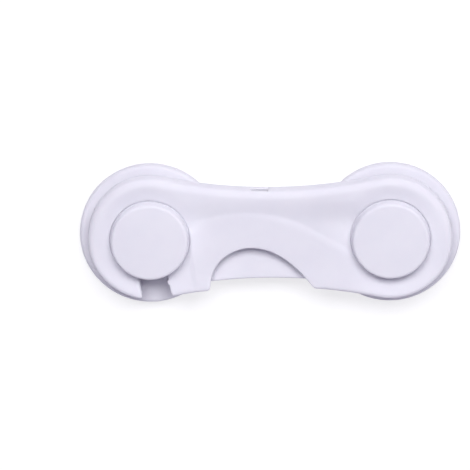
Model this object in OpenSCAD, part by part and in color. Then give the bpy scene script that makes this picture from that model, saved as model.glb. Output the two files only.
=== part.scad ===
// Stick-on cabinet safety lock: two round bases joined by a hollow arm that turns on the right-hand post.
// Pushing the trigger in the half-moon opening draws a springy catch out of the arm's slot, and the arm
// can then swing up off the left-hand post. The lock lies face up, with the furniture's face at z = 0.

/* [Bases] */
// Distance between the two posts
post_span = 63; // [61:0.5:66]
// Diameter of a base
base_d = 37; // [36:0.5:39]
// Thickness of a base
base_t = 3.2; // [3:0.1:3.8]
// Radius of a base's rounded front edge
base_edge_r = 1; // [0.6:0.1:1.4]
// Diameter of a foam pad
pad_d = 35; // [33:0.5:35.5]
// Thickness of a foam pad
pad_t = 1; // [0.8:0.1:1.5]
// Diameter of a post
post_d = 7; // [6.8:0.1:7.2]
// Diameter of the hole inside a post
post_bore_d = 4.4; // [4.2:0.1:4.6]
// Thickness of the web that a cap screw pulls on
web_t = 2; // [1.6:0.1:2.4]
// Depth of the screw head's pocket behind the web
pocket_h = 2; // [1.8:0.1:2.4]

/* [Caps] */
// Diameter of a cap's face
cap_d = 19.8; // [18:0.1:21]
// Thickness of a cap
cap_t = 2.9; // [2.4:0.1:3.3]
// Distance that a cap's sloping side stands out at its foot
cap_flare = 0.7; // [0.5:0.05:1]
// Radius of a cap's rounded edge
cap_edge_r = 0.6; // [0.4:0.1:1.2]
// Room between the arm's face and a cap
cap_gap = 0.25; // [0.2:0.05:0.5]

/* [Arm] */
// Diameter of the arm's round ends
head_d = 32.2; // [31.5:0.1:33]
// Width of the arm at its waist
waist_w = 25.6; // [25:0.1:26.2]
// Room between a base and the arm
arm_gap = 0.3; // [0.25:0.05:0.5]
// Thickness of the rear cover's floor
floor_t = 1.5; // [1.4:0.1:1.8]
// Height of the hollow between the covers
hollow_h = 3; // [3:0.1:3.3]
// Thickness of the front cover's face under its relief
face_t = 1.4; // [1.2:0.1:1.8]
// Height of the raised lip along the arm's edge
lip_h = 0.7; // [0.5:0.05:0.8]
// Height of the raised brow round the half-moon
brow_h = 0.5; // [0.3:0.05:0.55]
// Distance that the skirt stops short of the rear cover's back
skirt_lift = 0.4; // [0.3:0.05:0.7]
// Thickness of the skirt
skirt_t = 1.3; // [1.2:0.05:1.4]
// Thickness of the rear cover's rim
rim_t = 1.1; // [1:0.05:1.2]
// Radius of the upper shoulder
shoulder_r = 2; // [1.6:0.1:2.2]
// Radius of the lower edge
lower_edge_r = 1; // [0.8:0.1:1.2]
// Width of the slot that hooks over the latch post
slot_w = 7.5; // [7.4:0.05:7.7]
// Thickness of the wall round the slot
slot_wall_t = 1.2; // [1:0.1:1.3]
// Height of the bump in the slot's mouth
bump_h = 0.4; // [0.2:0.05:0.45]

/* [Half-moon] */
// Distance from the latch post to the opening
moon_from_latch = 15.8; // [15.5:0.1:16.5]
// Distance from the opening to the pivot post
moon_from_pivot = 20; // [19:0.1:21]
// Place of the opening's top, as a share of its width
moon_peak = 0.393; // [0.37:0.001:0.41]
// Height of the opening's top above the line of the posts
moon_top = -2.4; // [-3:0.1:-2]
// Depth of the round left side
moon_b = 10.2; // [9:0.1:11]

/* [Trigger] */
// How far the trigger travels
trigger_travel = 2.4; // [2:0.1:2.6]
// Thickness of the trigger's finger plate
plate_t = 2; // [1.8:0.1:2.1]
// Thickness of the thin wing that works the catch
wing_t = 1.2; // [1:0.1:1.2]
// Width of the guide tail
tail_w = 4.6; // [4:0.1:5]
// How far the plate runs up behind the half-moon
plate_cover = 3.9; // [3.5:0.1:4.2]
// Width of the plate's corners that rest on the rim
stop_w = 1.6; // [1.3:0.1:1.8]
// How far the tail's end lies below the arm's top edge
tail_recess = 0.3; // [0.1:0.05:0.5]
// How far the catch draws back
catch_travel = 3; // [2.6:0.1:3.2]
// Height of the catch's nose
nose_h = 4.25; // [4:0.05:4.5]
// Room between the latch post and the nose
nose_gap = 0.25; // [0.2:0.05:0.35]
// Diameter of the catch's peg
peg_d = 1.6; // [1.4:0.1:1.7]
// Wire of a trigger spring
wire_d = 0.4; // [0.35:0.05:0.4]
// Outer diameter of a trigger spring
coil_d = 2.4; // [2.2:0.1:2.5]
// Turns of a trigger spring
coil_turns = 9; // [7:1:9]

/* [Fits and screws] */
// Room all round a post in its turning bore
turn_gap = 0.08; // [0.05:0.01:0.1]
// Room round a sliding piece
slide_gap = 0.15; // [0.1:0.01:0.2]
// Room between pieces that are fitted and stay
fit_gap = 0.05; // [0.03:0.01:0.1]
// Room above and below the catch leaf
leaf_gap = 0.2; // [0.15:0.01:0.25]
// Room under the trigger
lay_gap = 0.1; // [0.08:0.01:0.15]
// Room above the rear cover's rim
rim_gap = 0.6; // [0.4:0.1:0.8]
// Thickness of the sleeve and ring round the pivot post
sleeve_t = 2; // [1.6:0.1:2.4]
// Diameter of a screw's shank
screw_d = 1.9; // [1.8:0.1:2]
// Diameter of a screw's head
screw_head_d = 3.6; // [3.4:0.1:3.8]
// Diameter of a screw boss
boss_d = 3.8; // [3.6:0.1:3.9]
// Room between a screw boss and the wall beside it
boss_gap = 0.3; // [0.2:0.05:0.4]

/* [Hidden] */
$fn = 64;
white = [0.91, 0.9, 0.95];
natural = [0.86, 0.85, 0.84];
foam = [0.82, 0.82, 0.84];
steel = [0.66, 0.67, 0.69];
over = 0.5;

// Heights, from the furniture's face outwards
base_z = pad_t;
base_face_z = base_z + base_t;
arm_z = base_face_z + arm_gap;
floor_z = arm_z + floor_t;
skirt_z = arm_z + skirt_lift;
ceiling_z = floor_z + hollow_h;
rim_z = ceiling_z - rim_gap;
trigger_z = floor_z + lay_gap;
face_z = ceiling_z + face_t;
seat_z = face_z + max(lip_h, brow_h);
cap_z = seat_z + cap_gap;
web_z = base_z + pocket_h;
spigot_z = web_z + web_t;

// Outline of the arm: two round ends joined by waist arcs that run into them without a corner
half_span = post_span / 2;
latch_x = -half_span;
head_r = head_d / 2;
waist_h = waist_w / 2;
waist_r = (pow(half_span, 2) + pow(waist_h, 2) - pow(head_r, 2)) / (2 * (head_r - waist_h));
lean = asin(half_span / (waist_r + head_r));
head_sweep = 90 + lean;
head_steps = 28;
waist_steps = 28;
edge_steps = 4;
row_steps = 8;
rim_inset = skirt_t + fit_gap;
rim_inner = rim_inset + rim_t;

// Half-moon opening: a quarter ellipse on the left, and a parabola down to the arm's lower edge on the right
moon_left = latch_x + moon_from_latch;
moon_right = half_span - moon_from_pivot;
moon_a = moon_peak * (moon_right - moon_left);
moon_x = moon_left + moon_a;
moon_reach = moon_right - moon_x;
moon_steps = 12;

// Relief of the face: the lip along the edge, and the brow over the half-moon with its crest line
lip_rise = 0.2;
lip_grow = [latch_x + 9.5, latch_x + 17.5];
upper_lip = [1.7, 8.9];
lower_lip = [1, 5.5];
head_near = [half_span - 11.5, half_span - 4.5];
crest_peak = [moon_x - 2.5, moon_top + 8.05];
crest_left = 0.0295;
crest_rise = 9;
crest_run = 14;
brow_bend = 0.045;
brow_drop = [[moon_x, moon_x - 11, 0.12], [moon_x + 3, moon_x + 19, 0.16]];
brow_tilt = 0.05;
tilt_over = [moon_x + 9, moon_x + 17];
brow_fade = [half_span - 11.5, half_span - 2.5];
crease_x = latch_x + 10.8;
crease_lean = 0.128;
crease_w = 1.2;
hollows = [[half_span - 13.5, 4.5, 6.5, 4.5, 0.5], [latch_x + 12.5, 4.5, 5, 4, 0.3]];
edge_blend = [-8, 4];

// Slot, swept round the pivot from the latch post out through the arm's lower edge
slot_r = slot_w / 2;
slot_sweep = 20;
bump_sweep = 11.3;
bump_r = 0.9;

// Catch leaf: foot, strip, nose under the post, and the peg that runs in the slot of the trigger's wing
leaf_z = trigger_z + wing_t + leaf_gap;
leaf_top = ceiling_z - leaf_gap;
foot_in = 11.3;
foot_y = 7.2;
foot = [latch_x + foot_in, foot_y];
foot_size = [4.4, 3.4];
foot_pin_d = 2;
strip_t = 0.9;
nose_y = -post_d / 2 - nose_gap;
nose_low = nose_y - nose_h;
nose_wall = latch_x + slot_r;
nose_tip = nose_wall - catch_travel;
nose_face = 0.85;
cam_d = peg_d + 2 * slide_gap;
wing_wall = 0.8;
peg_y = nose_y - nose_h / 2;
wing_high = peg_y + cam_d / 2 + wing_wall;
wing_low = peg_y - trigger_travel - cam_d / 2 - wing_wall;
wing_left = half_span - sqrt(pow(post_span - slot_r - slot_wall_t, 2) - pow(wing_low, 2)) + 2 * slide_gap;
peg = [wing_left + wing_wall + cam_d / 2, peg_y];
nose_back = peg[0] + peg_d / 2;
strip_top = [foot[0] - foot_size[0] / 2 + strip_t, foot[1] - foot_size[1] / 2 + strip_t];
strip_end = [nose_back - strip_t / 2, nose_y - strip_t];

// Trigger: finger plate, the lower corners that stop it on the rim, tail and wing
plate_steps = 16;
plate_z = trigger_z + plate_t;
plate_top = moon_top + plate_cover;
plate_back = 0.4;
plate_inset = rim_inset + plate_back;
stop_left = moon_left;
stop_in = 0.9;
stop_right = moon_right - stop_in;
plate_left = stop_left - stop_w;
plate_right = stop_right + stop_w;
tail_in = 2.25;
tail_x = moon_x + tail_in;
tail_lift = 0.45;
tail_z = trigger_z + tail_lift;
tail_end = waist_h - tail_recess;
tail_head_l = 1;
tail_head_z = ceiling_z + 0.6;
guide_t = 1.2;
guide_l = 2.5;
side_guide_l = 7.5;

// Screws
head_screw_out = 9.5;
head_screw_y = -3;
left_screw_in = 16.5;
right_screw_in = 18;
lower_screw_in = 14;
cover_screw_at = [
    [latch_x - head_screw_out, head_screw_y],
    rim_boss(latch_x + left_screw_in, 1),
    rim_boss(half_span - right_screw_in, 1),
    rim_boss(half_span - lower_screw_in, -1)
];
cover_head_h = 0.8;
screw_end = 0.4;
cover_screw_l = floor_t - cover_head_h + hollow_h - screw_end;
cap_head_h = 1.2;
cap_screw_l = 7;
pilot_d = screw_d + 2 * fit_gap;
pass_d = screw_d + 2 * slide_gap;
cross_w = 0.5;
cross_l = 1.9;
cross_h = 0.5;

// Springs, one on each side of the tail
spring_room = 1;
spring_out = tail_w / 2 + coil_d / 2 + spring_room;
spring_x = [tail_x - spring_out, tail_x + spring_out];
spring_peg_d = 1.1;
spring_peg_l = 1.5;
spring_z = trigger_z + coil_d / 2;
coil_r = (coil_d - wire_d) / 2;
coil_rings = 8;
wire_sides = 6;

function smooth(low, high, v) =
    let (t = max(0, min(1, (v - low) / (high - low))))
    t * t * (3 - 2 * t);

function mix(a, b, t) = a + (b - a) * t;

// Points of the outline: x, y, the way inwards, and the place on the arm's middle line that they lead to
function head_edge(side, a) =
    [side * half_span + head_r * cos(a), head_r * sin(a), -cos(a), -sin(a), side * half_span];

function waist_edge(side, a) =
    [
        waist_r * sin(a),
        side * (waist_h + waist_r * (1 - cos(a))),
        sin(a),
        -side * cos(a),
        half_span * a / lean
    ];

edge = concat(
    [for (i = [0:head_steps]) head_edge(1, head_sweep * (2 * i / head_steps - 1))],
    [for (i = [1:waist_steps - 1]) waist_edge(1, lean * (1 - 2 * i / waist_steps))],
    [for (i = [0:head_steps]) head_edge(-1, 180 + head_sweep * (2 * i / head_steps - 1))],
    [for (i = [1:waist_steps - 1]) waist_edge(-1, lean * (2 * i / waist_steps - 1))]
);
edge_n = len(edge);

function inset_point(e, d) = [e[0] + e[2] * d, e[1] + e[3] * d];

// Half width of the waist at x, moved inwards by d
function waist_y(x, d) = waist_h + waist_r - sqrt(pow(waist_r + d, 2) - x * x);

// Place of a screw boss that stands beside the rim at x, on the upper or the lower side
function rim_boss(x, side) = [x, side * (waist_y(x, rim_inner) - boss_d / 2 - boss_gap)];

// Distance from a point inside the arm to the outline
function edge_room(x, y) =
    let (drop = waist_h + waist_r - abs(y))
    atan2(abs(x), drop) < lean
        ? norm([x, drop]) - waist_r
        : head_r - norm([abs(x) - half_span, y]);

// Crest of the brow: a parabola left of its peak, a hyperbola's arm right of it
function crest_y(x) =
    let (d = x - crest_peak[0])
    crest_peak[1] - (d < 0 ? crest_left * d * d : crest_rise * (sqrt(1 + pow(d / crest_run, 2)) - 1));

function lip_top(x) = lip_h + lip_rise * smooth(lip_grow[0], lip_grow[1], x);

// Lip of the upper half: it falls in an S to a valley that runs straight between the caps
function lip_at(x, y) =
    let (
        bulge = waist_y(max(latch_x, min(half_span, x)), 0) - waist_h,
        room = edge_room(x, y) - bulge * (1 - smooth(head_near[0], head_near[1], abs(x)))
    )
    lip_top(x) * (1 - smooth(upper_lip[0], upper_lip[1], room));

// Brow: it falls outside its crest; inside, it is level or rises gently to the arm's lower right edge
function brow_at(x, y) =
    let (
        past = y - crest_y(x),
        crease = crease_x - crease_lean * y,
        left = brow_drop[0][2] * smooth(brow_drop[0][0], brow_drop[0][1], x),
        right = brow_drop[1][2] * smooth(brow_drop[1][0], brow_drop[1][1], x),
        tilt = brow_tilt * smooth(tilt_over[0], tilt_over[1], x) * max(0, -past),
        z = brow_h - left - right + tilt - brow_bend * pow(max(0, past), 2)
    )
    z * (1 - smooth(brow_fade[0], brow_fade[1], x)) * smooth(crease - crease_w, crease, x);

// Depth of a round hollow with the centre h[0], h[1], the half widths h[2], h[3] and the depth h[4]
function dip(x, y, h) = h[4] * exp(-pow((x - h[0]) / h[2], 2) - pow((y - h[1]) / h[3], 2));

// Height of the face: the lip or the brow above, a narrow lip that falls to the brow below, and two hollows
function face_at(x, y) =
    let (
        brow = brow_at(x, y),
        low = max(0, brow),
        t = max(0, min(1, (edge_room(x, y) - lower_lip[0]) / (lower_lip[1] - lower_lip[0]))),
        below = low + max(0, lip_top(x) - low) * pow(1 - t, 2),
        above = max(lip_at(x, y), brow)
    )
    face_z + mix(below, above, smooth(edge_blend[0], edge_blend[1], y))
        - dip(x, y, hollows[0]) - dip(x, y, hollows[1]);

function edge_r_at(e) = mix(lower_edge_r, shoulder_r, smooth(edge_blend[0], edge_blend[1], e[1]));

// Ring of the front cover's skin, from the skirt's free edge over the shoulder and in to the middle line
function skin_point(e, ring) =
    let (
        r = edge_r_at(e),
        inner = inset_point(e, r),
        a = 90 * (ring - 1) / edge_steps,
        row = (ring - 1 - edge_steps) / row_steps,
        p = ring == 0 ? inset_point(e, 0)
            : ring <= edge_steps + 1 ? inset_point(e, r * (1 - cos(a)))
            : [mix(inner[0], e[4], row), mix(inner[1], 0, row)],
        z = ring == 0 ? skirt_z
            : ring <= edge_steps + 1 ? face_at(inner[0], inner[1]) - r * (1 - sin(a))
            : face_at(p[0], p[1])
    )
    [p[0], p[1], z];

// The middle line's point that outline point i leads to
function spine_of(i) =
    i <= head_steps ? 0
    : i < head_steps + waist_steps ? i - head_steps
    : i <= 2 * head_steps + waist_steps ? waist_steps
    : 2 * (head_steps + waist_steps) - i;

module arm_outline(d) {
    polygon([for (e = edge) inset_point(e, d)]);
}

module arm_plate(d, low, high) {
    translate([0, 0, low])
        linear_extrude(high - low)
            arm_outline(d);
}

// Solid form of the front cover, before it is hollowed and cut
module cover_form() {
    rings = 1 + edge_steps + row_steps;
    skin = [for (ring = [0:rings - 1], e = edge) skin_point(e, ring)];
    line_x = [for (k = [0:waist_steps]) half_span * (1 - 2 * k / waist_steps)];
    spine = [for (x = line_x) [x, 0, face_at(x, 0)]];
    keel = [for (x = line_x) [x, 0, skirt_z]];
    first = rings * edge_n;
    last = first - edge_n;
    low = first + len(spine);
    bands = [for (ring = [0:rings - 2], i = [0:edge_n - 1])
        let (
            j = (i + 1) % edge_n,
            a = ring * edge_n + i,
            b = ring * edge_n + j
        )
        each [[a, a + edge_n, b + edge_n], [a, b + edge_n, b]]];
    middle = [for (i = [0:edge_n - 1])
        let (
            j = (i + 1) % edge_n,
            s = first + spine_of(i),
            t = first + spine_of(j)
        )
        each s == t
            ? [[last + i, s, last + j]]
            : [[last + i, s, t], [last + i, t, last + j]]];
    under = [for (i = [0:edge_n - 1])
        let (
            j = (i + 1) % edge_n,
            s = low + spine_of(i),
            t = low + spine_of(j)
        )
        each s == t
            ? [[i, j, s]]
            : [[i, j, t], [i, t, s]]];
    polyhedron(concat(skin, spine, keel), concat(under, bands, middle));
}

// Space of the slot, widened by d, between two heights
module slot_space(d, low, high) {
    translate([-half_span, 0, low])
        cylinder(h = high - low, r = slot_r + d);
    translate([half_span, 0, low])
        rotate([0, 0, 180])
            rotate_extrude(angle = slot_sweep)
                translate([post_span - slot_r - d, 0])
                    square([slot_w + 2 * d, high - low]);
}

// Space of the half-moon opening, out past the arm's lower edge
module moon_space(low, high) {
    past = 2 * over;
    out = -head_r - past;
    curve = (waist_y(moon_right, 0) + moon_top) / pow(moon_reach, 2);
    left = [for (i = [0:moon_steps])
        let (a = 180 - 90 * i / moon_steps)
        [moon_x + moon_a * cos(a), moon_top - moon_b + moon_b * sin(a)]];
    right = [for (i = [1:moon_steps])
        let (run = (moon_reach + past) * i / moon_steps)
        [moon_x + run, moon_top - curve * pow(run, 2)]];
    translate([0, 0, low])
        linear_extrude(high - low)
            polygon(concat([[moon_left, out]], left, right, [[moon_right + past, out]]));
}

// Space of the trigger's tail, out through the arm's top edge
module tail_space(room, low, high) {
    translate([tail_x - tail_w / 2 - room, plate_top, low])
        cube([tail_w + 2 * room, head_r, high - low]);
}

// Disc with a rounded front edge, of radius r, thickness t and edge radius e; its side slopes out by a flare
module rounded_disc(r, t, e, flare = 0) {
    slope = acos(e / norm([e + flare, t - e])) - atan2(t - e, e + flare);
    meet = [r - e + e * cos(slope), t - e + e * sin(slope)];
    rotate_extrude($fn = 96) {
        polygon([[0, 0], [r + flare, 0], meet, [r - e, t], [0, t]]);
        translate([r - e, t - e])
            circle(e, $fn = 48);
    }
}

// Screw seated with its head's underside at z = 0 and its shank pointing up
module screw(head_h, shank_l) {
    difference() {
        union() {
            translate([0, 0, -head_h])
                cylinder(h = head_h, d = screw_head_d);
            cylinder(h = shank_l, d = screw_d);
        }
        for (turn = [0, 90])
            rotate([0, 0, turn])
                translate([-cross_l / 2, -cross_w / 2, -head_h - over])
                    cube([cross_l, cross_w, cross_h + over]);
    }
}

module pad(side) {
    translate([side * half_span, 0, 0])
        cylinder(h = pad_t, d = pad_d, $fn = 96);
}

module base(side) {
    translate([side * half_span, 0, 0])
        difference() {
            union() {
                translate([0, 0, base_z])
                    rounded_disc(base_d / 2, base_t, base_edge_r);
                translate([0, 0, base_z])
                    cylinder(h = cap_z - base_z, d = post_d);
            }
            translate([0, 0, base_z - over])
                cylinder(h = pocket_h + over, d = post_bore_d);
            translate([0, 0, base_z])
                cylinder(h = cap_z, d = pass_d);
            translate([0, 0, spigot_z])
                cylinder(h = cap_z, d = post_bore_d);
        }
}

// Cap with the spigot that stands on the web inside the post
module cap(side) {
    translate([side * half_span, 0, 0])
        difference() {
            union() {
                translate([0, 0, cap_z])
                    rounded_disc(cap_d / 2, cap_t, cap_edge_r, cap_flare);
                translate([0, 0, spigot_z])
                    cylinder(h = cap_z - spigot_z + over, d = post_bore_d - 2 * fit_gap);
            }
            translate([0, 0, spigot_z - over])
                cylinder(h = cap_screw_l - web_t + 2 * over, d = pilot_d);
        }
}

module cap_screw(side) {
    translate([side * half_span, 0, web_z])
        screw(cap_head_h, cap_screw_l);
}

module latch_pad() {
    color(foam) pad(-1);
}

module pivot_pad() {
    color(foam) pad(1);
}

module latch_base() {
    color(white) base(-1);
}

module pivot_base() {
    color(white) base(1);
}

module latch_cap() {
    color(white) cap(-1);
}

module pivot_cap() {
    color(white) cap(1);
}

module latch_cap_screw() {
    color(steel) cap_screw(-1);
}

module pivot_cap_screw() {
    color(steel) cap_screw(1);
}

// Back shell: a floor with a rim that fits inside the skirt
module rear_cover() {
    color(white)
        difference() {
            union() {
                arm_plate(rim_inset, arm_z, floor_z);
                difference() {
                    arm_plate(rim_inset, floor_z - over, rim_z);
                    arm_plate(rim_inner, floor_z - 2 * over, rim_z + over);
                    slot_space(slot_wall_t + fit_gap, floor_z, rim_z + over);
                    translate([stop_left - slide_gap, -head_r, floor_z])
                        cube([stop_right - stop_left + 2 * slide_gap, head_r, hollow_h]);
                    tail_space(slide_gap, floor_z, rim_z + over);
                    for (at = cover_screw_at)
                        translate([at[0], at[1], floor_z])
                            cylinder(h = hollow_h, d = boss_d + 2 * fit_gap);
                }
                thrust_ring();
                trigger_guides();
                translate([foot[0], foot[1], floor_z - over])
                    cylinder(h = leaf_top - floor_z, d = foot_pin_d);
            }
            slot_space(0, arm_z - over, floor_z + over);
            translate([half_span, 0, base_face_z])
                cylinder(h = floor_z, d = post_d + 2 * turn_gap);
            for (at = cover_screw_at)
                translate([at[0], at[1], arm_z])
                    screw_seat();
        }
}

// Ring under the arm that rides on the pivot base
module thrust_ring() {
    translate([half_span, 0, base_face_z + fit_gap])
        cylinder(h = arm_gap + over, d = post_d + 2 * sleeve_t);
}

// Ribs beside the trigger plate
module trigger_guides() {
    translate([plate_left - slide_gap - guide_t, wing_low - 2 * slide_gap - guide_l, floor_z - over])
        cube([guide_t, guide_l, plate_t + over]);
    translate([plate_right + slide_gap, plate_top - guide_l - side_guide_l, floor_z - over])
        cube([guide_t, side_guide_l, plate_t + over]);
}

// Hole and pocket for a cover screw, from the back of the floor
module screw_seat() {
    translate([0, 0, -over])
        cylinder(h = floor_t + 2 * over, d = pass_d);
    translate([0, 0, -over])
        cylinder(h = cover_head_h + over, d = screw_head_d + 4 * fit_gap);
}

// Front shell: sculpted face with a round seat under each cap, skirt, the slot's walls, the pivot's sleeve and
// four screw bosses
module front_cover() {
    color(white)
        difference() {
            union() {
                difference() {
                    cover_form();
                    arm_plate(skirt_t, skirt_z - over, ceiling_z);
                }
                intersection() {
                    slot_space(slot_wall_t, floor_z, ceiling_z + over);
                    arm_plate(skirt_t / 2, floor_z - over, ceiling_z + 2 * over);
                }
                for (x = [latch_x, half_span])
                    translate([x, 0, ceiling_z])
                        cylinder(h = seat_z - ceiling_z, d = cap_d);
                translate([half_span, 0, floor_z])
                    cylinder(h = hollow_h + over, d = post_d + 2 * sleeve_t);
                for (at = cover_screw_at)
                    translate([at[0], at[1], floor_z])
                        cylinder(h = hollow_h + over, d = boss_d);
            }
            difference() {
                slot_space(0, arm_z, cap_z);
                slot_bump();
            }
            moon_space(arm_z, cap_z);
            translate([half_span, 0, arm_z])
                cylinder(h = cap_z - arm_z, d = post_d + 2 * turn_gap);
            nose_window();
            tail_space(slide_gap, tail_z - slide_gap, plate_z + slide_gap);
            intersection() {
                tail_space(slide_gap, tail_z - slide_gap, tail_head_z + slide_gap);
                translate([latch_x, tail_end - tail_head_l - slide_gap, 0])
                    cube([post_span, head_r, cap_z]);
            }
            for (at = cover_screw_at)
                translate([at[0], at[1], floor_z - over])
                    cylinder(h = hollow_h + over - lay_gap, d = pilot_d);
        }
}

// Window in the slot's right-hand wall that the nose reaches through
module nose_window() {
    translate([nose_wall - over, nose_low - slide_gap, leaf_z - leaf_gap])
        cube([nose_back - nose_wall, nose_h + 2 * slide_gap, ceiling_z - leaf_z + leaf_gap]);
}

// Bump on the slot's right-hand wall
module slot_bump() {
    translate([half_span, 0, arm_z])
        rotate([0, 0, 180 + bump_sweep])
            translate([post_span - slot_r + bump_h - bump_r, 0, 0])
                cylinder(h = cap_z - arm_z, r = bump_r);
}

module cover_screws() {
    color(steel)
        for (at = cover_screw_at)
            translate([at[0], at[1], arm_z + cover_head_h])
                screw(cover_head_h, cover_screw_l);
}

// Finger plate with its lower edge along the arm's own outline, the tail, the wing and two spring pegs
module trigger() {
    low = [for (i = [0:plate_steps])
        let (x = mix(stop_left, stop_right, i / plate_steps))
        [x, -waist_y(x, plate_inset)]];
    ends = rim_inner + fit_gap;
    color(white) {
        translate([0, 0, trigger_z])
            linear_extrude(plate_t)
                polygon(concat(
                    [[plate_left, plate_top], [plate_left, -waist_y(plate_left, ends)],
                        [stop_left, -waist_y(stop_left, ends)]],
                    low,
                    [[stop_right, -waist_y(stop_right, ends)], [plate_right, -waist_y(plate_right, ends)],
                        [plate_right, plate_top]]
                ));
        difference() {
            translate([wing_left, wing_low, trigger_z])
                cube([plate_left - wing_left + over, wing_high - wing_low, wing_t]);
            cam_slot();
        }
        translate([tail_x - tail_w / 2, plate_top - over, tail_z])
            cube([tail_w, tail_end - plate_top + over, plate_z - tail_z]);
        translate([tail_x - tail_w / 2, tail_end - tail_head_l, tail_z])
            cube([tail_w, tail_head_l, tail_head_z - tail_z]);
        for (x = spring_x)
            translate([x, plate_top + spring_peg_l, spring_z])
                rotate([90, 0, 0])
                    cylinder(h = spring_peg_l + over, d = spring_peg_d);
    }
}

// Slanted slot in which the peg of the catch runs as the trigger goes up
module cam_slot() {
    run = norm([catch_travel, trigger_travel]);
    translate([peg[0], peg[1], trigger_z - over])
        rotate([0, 0, -atan2(trigger_travel, catch_travel)]) {
            cylinder(h = wing_t + 2 * over, d = cam_d);
            translate([run, 0, 0])
                cylinder(h = wing_t + 2 * over, d = cam_d);
            translate([0, -cam_d / 2, 0])
                cube([run, cam_d, wing_t + 2 * over]);
        }
}

// Springy catch: a foot on the rear cover's pin, a thin strip, and a nose that closes the slot
module latch_leaf() {
    strip = strip_end - strip_top;
    color(natural) {
        difference() {
            translate([foot[0] - foot_size[0] / 2, foot[1] - foot_size[1] / 2, floor_z])
                cube([foot_size[0], foot_size[1], leaf_top - floor_z]);
            translate([foot[0], foot[1], floor_z - over])
                cylinder(h = hollow_h, d = foot_pin_d + 2 * fit_gap);
        }
        translate([strip_top[0], strip_top[1], leaf_z])
            rotate([0, 0, atan2(strip[1], strip[0])])
                translate([0, -strip_t / 2, 0])
                    cube([norm(strip), strip_t, leaf_top - leaf_z]);
        translate([0, 0, leaf_z])
            linear_extrude(leaf_top - leaf_z)
                polygon([[nose_back, nose_y], [nose_tip, nose_y], [nose_tip, nose_y - nose_face],
                    [nose_wall, nose_low], [nose_back, nose_low]]);
        translate([peg[0], peg[1], trigger_z])
            cylinder(h = leaf_top - trigger_z, d = peg_d);
    }
}

// Coil spring along the trigger's travel, as one unbroken tube round its wire's helix
function coil_at(x, low, high, t) =
    let (turn = 360 * coil_turns * t)
    [x + coil_r * cos(turn), mix(low, high, t), spring_z + coil_r * sin(turn)];

module coil(x) {
    low = plate_top + wire_d / 2 + fit_gap;
    high = waist_y(x, rim_inner) - wire_d / 2 - fit_gap;
    rings = coil_turns * coil_rings;
    line = [for (k = [0:rings]) coil_at(x, low, high, k / rings)];
    climb = (high - low) / coil_turns;
    slope = atan2(climb, 2 * PI * coil_r);
    points = [for (k = [0:rings], s = [0:wire_sides - 1])
        let (
            turn = 360 * coil_turns * k / rings,
            a = 360 * s / wire_sides,
            out = wire_d / 2 * cos(a),
            up = wire_d / 2 * sin(a)
        )
        line[k] + [out * cos(turn) + up * sin(slope) * sin(turn), up * cos(slope),
            out * sin(turn) - up * sin(slope) * cos(turn)]];
    sides = [for (k = [0:rings - 1], s = [0:wire_sides - 1])
        let (
            n = (s + 1) % wire_sides,
            a = k * wire_sides,
            b = a + wire_sides
        )
        each [[a + s, b + n, a + n], [a + s, b + s, b + n]]];
    start = [for (s = [1:wire_sides - 2]) [0, s, s + 1]];
    end = rings * wire_sides;
    stop = [for (s = [1:wire_sides - 2]) [end, end + s + 1, end + s]];
    gap = min([for (k = [0:rings - coil_rings], d = [-2:2])
        k + coil_rings + d <= rings ? norm(line[k + coil_rings + d] - line[k]) - wire_d : climb]);
    echo(least_gap_of_spring_to_itself = gap);
    polyhedron(points, concat(start, sides, stop));
}

module trigger_springs() {
    color(steel)
        for (x = spring_x)
            coil(x);
}

latch_pad();
pivot_pad();
latch_base();
pivot_base();
latch_cap();
pivot_cap();
latch_cap_screw();
pivot_cap_screw();
rear_cover();
front_cover();
cover_screws();
trigger();
trigger_springs();
latch_leaf();
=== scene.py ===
# Cabinet safety lock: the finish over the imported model, lit and framed as in the photograph.
# Shapes are worked out in millimetres and go into the meshes in metres. Angles in the settings are in degrees.
import math
import bmesh
import bpy
import numpy as np
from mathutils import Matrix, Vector
from mathutils.geometry import delaunay_2d_cdt


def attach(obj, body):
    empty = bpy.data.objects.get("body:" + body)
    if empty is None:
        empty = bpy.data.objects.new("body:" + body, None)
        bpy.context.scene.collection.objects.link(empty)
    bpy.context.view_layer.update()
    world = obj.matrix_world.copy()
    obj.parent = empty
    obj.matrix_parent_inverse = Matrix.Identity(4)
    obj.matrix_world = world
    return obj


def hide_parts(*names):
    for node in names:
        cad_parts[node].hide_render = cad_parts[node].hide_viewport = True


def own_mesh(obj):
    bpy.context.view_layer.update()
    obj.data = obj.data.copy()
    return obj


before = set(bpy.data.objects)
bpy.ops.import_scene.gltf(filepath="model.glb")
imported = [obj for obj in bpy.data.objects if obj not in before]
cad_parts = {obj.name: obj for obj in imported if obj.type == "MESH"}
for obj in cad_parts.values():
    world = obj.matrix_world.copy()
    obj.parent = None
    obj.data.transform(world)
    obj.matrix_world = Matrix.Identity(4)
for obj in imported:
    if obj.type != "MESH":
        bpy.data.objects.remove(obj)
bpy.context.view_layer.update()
mm = 0.001
print("frame loaded:", len(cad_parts), "nodes")


# mesh tools

meshSet = dict(batch=4000000, gridRoom=0.6, gridMerge=1e-6, straight=1e-3, bowlRim=0.4,
               sharp=32, weld=1.5e-6, sliver=1e-7)  # weld and sliver are in metres
tiny = 1e-14  # stands for a zero that would be divided by


def ringGrid(rings):
    # A grid of quads: each row is a closed ring of points, and every ring is joined to the next one.
    count, size = rings.shape[:2]
    row = np.arange(count - 1)[:, None] * size
    here = np.arange(size)[None, :]
    there = (here + 1) % size
    quads = np.stack([row + here, row + there, row + size + there, row + size + here], -1)
    return rings.reshape(-1, 3), quads.reshape(-1, 4)


def withHeight(flat, z):
    # Plan points with a height each, or one height for all.
    return np.column_stack([flat, np.broadcast_to(z, len(flat))])


def level(z):
    # A flat height, for a lid.
    return lambda x, y: np.full(len(x), float(z))


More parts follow.
